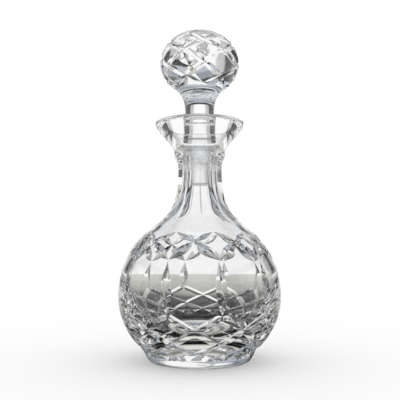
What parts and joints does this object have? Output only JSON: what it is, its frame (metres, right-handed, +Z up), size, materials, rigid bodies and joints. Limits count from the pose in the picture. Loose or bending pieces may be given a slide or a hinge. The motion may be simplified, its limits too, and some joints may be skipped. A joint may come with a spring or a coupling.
{
  "type": "decanter",
  "caption": "Round cut-crystal decanter with a fluted neck, bowl-shaped lip, leaf, wedge and lattice cuts, and a cut ball stopper on a ground tapered peg.",
  "frame": {"origin": "centre of the foot, on the plane that the decanter stands on", "axes": "+Z up along the axis of the decanter and the stopper, -Y towards the front that the picture shows, +X to its right"},
  "size_m": [0.1276, 0.1276, 0.2626],
  "materials": {
    "lead_crystal": "clear polished lead crystal, with ground faces on the peg, its bore and the foot ring"
  },
  "bodies": {
    "decanter": {"decanter_body": "lead_crystal"},
    "stopper": {"stopper": "lead_crystal"}
  },
  "joints": [
    {"name": "stopper_lift", "type": "slide", "parent": "decanter", "child": "stopper", "axis": [0, 0, 1], "range_m": [0, 0.08]}
  ]
}
